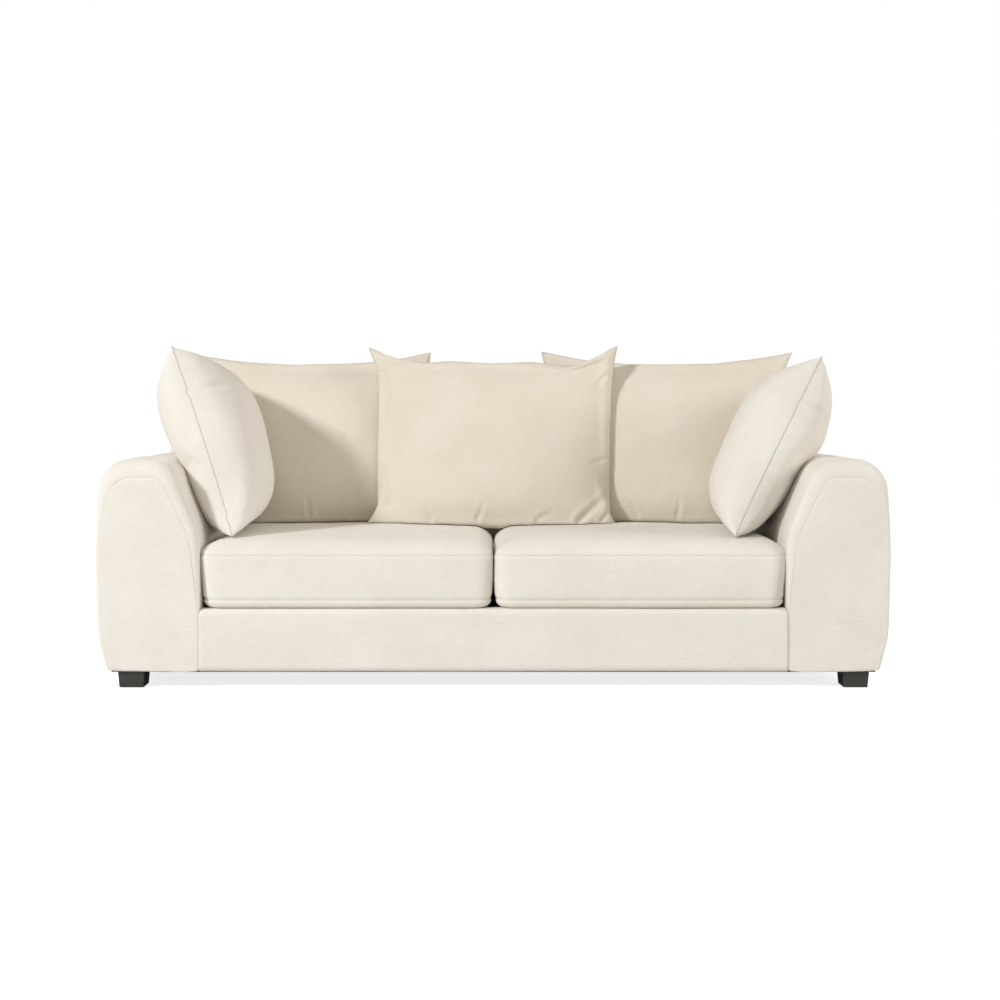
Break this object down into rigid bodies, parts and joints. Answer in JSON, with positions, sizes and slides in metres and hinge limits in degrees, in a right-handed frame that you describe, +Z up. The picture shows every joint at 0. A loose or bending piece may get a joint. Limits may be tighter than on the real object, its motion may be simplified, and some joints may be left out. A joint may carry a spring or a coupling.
{
  "type": "sofa",
  "caption": "Long padded sofa with rounded arms, boxed seat cushions, loose scatter pillows against a low back, and short tapered wooden feet.",
  "frame": {"origin": "on the floor, at the middle of the whole sofa's footprint", "axes": "+X along the sofa to the right seen from the front, the front faces -Y, +Z up"},
  "size_m": [2.2814, 1, 1.0091],
  "materials": {
    "cream_linen": "woven, fine slub",
    "foam": "cut foam",
    "feather_filling": "feather and fibre in a cotton inner",
    "pine": "planed, unfinished",
    "plywood": "sanded, unfinished",
    "black_stained_wood": "stained, satin",
    "spring_steel": "oiled wire",
    "zinc_steel": "zinc plated",
    "black_cloth": "non-woven",
    "webbing": "woven elastic webbing",
    "zip_nylon": "coil zip",
    "glide_plastic": "moulded"
  },
  "bodies": {
    "sofa_frame": {"arm_base_boards": "plywood", "arm_boards_left": "plywood", "arm_boards_right": "plywood", "arm_bolts": "zinc_steel", "arm_cover_left": "cream_linen", "arm_cover_right": "cream_linen", "arm_padding_left": "foam", "arm_padding_right": "foam", "arm_rails_left": "pine", "arm_rails_right": "pine", "back_base_board": "plywood", "back_bolts": "zinc_steel", "back_bottom_rail": "pine", "back_posts": "pine", "back_top_rail": "pine", "back_webbing": "webbing", "centre_rail": "pine", "corner_blocks": "pine", "dust_cover": "black_cloth", "foot_front_left": "black_stained_wood", "foot_front_right": "black_stained_wood", "foot_glides": "glide_plastic", "foot_hanger_bolts": "zinc_steel", "foot_plates": "zinc_steel", "foot_rear_left": "black_stained_wood", "foot_rear_right": "black_stained_wood", "front_border_cover": "cream_linen", "front_border_padding": "foam", "front_rail": "pine", "inside_back_cover": "cream_linen", "inside_back_padding": "foam", "outside_back_cover": "cream_linen", "outside_back_padding": "foam", "rear_rail": "pine", "seat_decking": "black_cloth", "seat_springs": "spring_steel", "side_rails": "pine", "spring_clips": "spring_steel", "spring_tie_wires": "spring_steel"},
    "seat_cushion_left": {"seat_cushion_left_cover": "cream_linen", "seat_cushion_left_foam": "foam", "seat_cushion_left_zip": "zip_nylon"},
    "seat_cushion_right": {"seat_cushion_right_cover": "cream_linen", "seat_cushion_right_foam": "foam", "seat_cushion_right_zip": "zip_nylon"},
    "back_pillow_left": {"back_pillow_left_cover": "cream_linen", "back_pillow_left_filling": "feather_filling", "back_pillow_left_zip": "zip_nylon"},
    "back_pillow_right": {"back_pillow_right_cover": "cream_linen", "back_pillow_right_filling": "feather_filling", "back_pillow_right_zip": "zip_nylon"},
    "centre_pillow": {"centre_pillow_cover": "cream_linen", "centre_pillow_filling": "feather_filling", "centre_pillow_zip": "zip_nylon"},
    "side_pillow_left": {"side_pillow_left_cover": "cream_linen", "side_pillow_left_filling": "feather_filling", "side_pillow_left_zip": "zip_nylon"},
    "side_pillow_right": {"side_pillow_right_cover": "cream_linen", "side_pillow_right_filling": "feather_filling", "side_pillow_right_zip": "zip_nylon"}
  },
  "joints": [
    {"name": "seat_cushion_left_slide", "type": "slide", "parent": "sofa_frame", "child": "seat_cushion_left", "axis": [0, -1, 0], "range_m": [0, 0.72]},
    {"name": "seat_cushion_right_slide", "type": "slide", "parent": "sofa_frame", "child": "seat_cushion_right", "axis": [0, -1, 0], "range_m": [0, 0.72]},
    {"name": "back_pillow_left_slide", "type": "slide", "parent": "sofa_frame", "child": "back_pillow_left", "axis": [0, 0.2419, 0.9703], "range_m": [0, 0.6]},
    {"name": "back_pillow_right_slide", "type": "slide", "parent": "sofa_frame", "child": "back_pillow_right", "axis": [0, 0.2419, 0.9703], "range_m": [0, 0.6]},
    {"name": "centre_pillow_slide", "type": "slide", "parent": "sofa_frame", "child": "centre_pillow", "axis": [0, 0.2419, 0.9703], "range_m": [0, 0.6]},
    {"name": "side_pillow_left_slide", "type": "slide", "parent": "sofa_frame", "child": "side_pillow_left", "axis": [0, 0, 1], "range_m": [0, 0.6]},
    {"name": "side_pillow_right_slide", "type": "slide", "parent": "sofa_frame", "child": "side_pillow_right", "axis": [0, 0, 1], "range_m": [0, 0.6]}
  ]
}
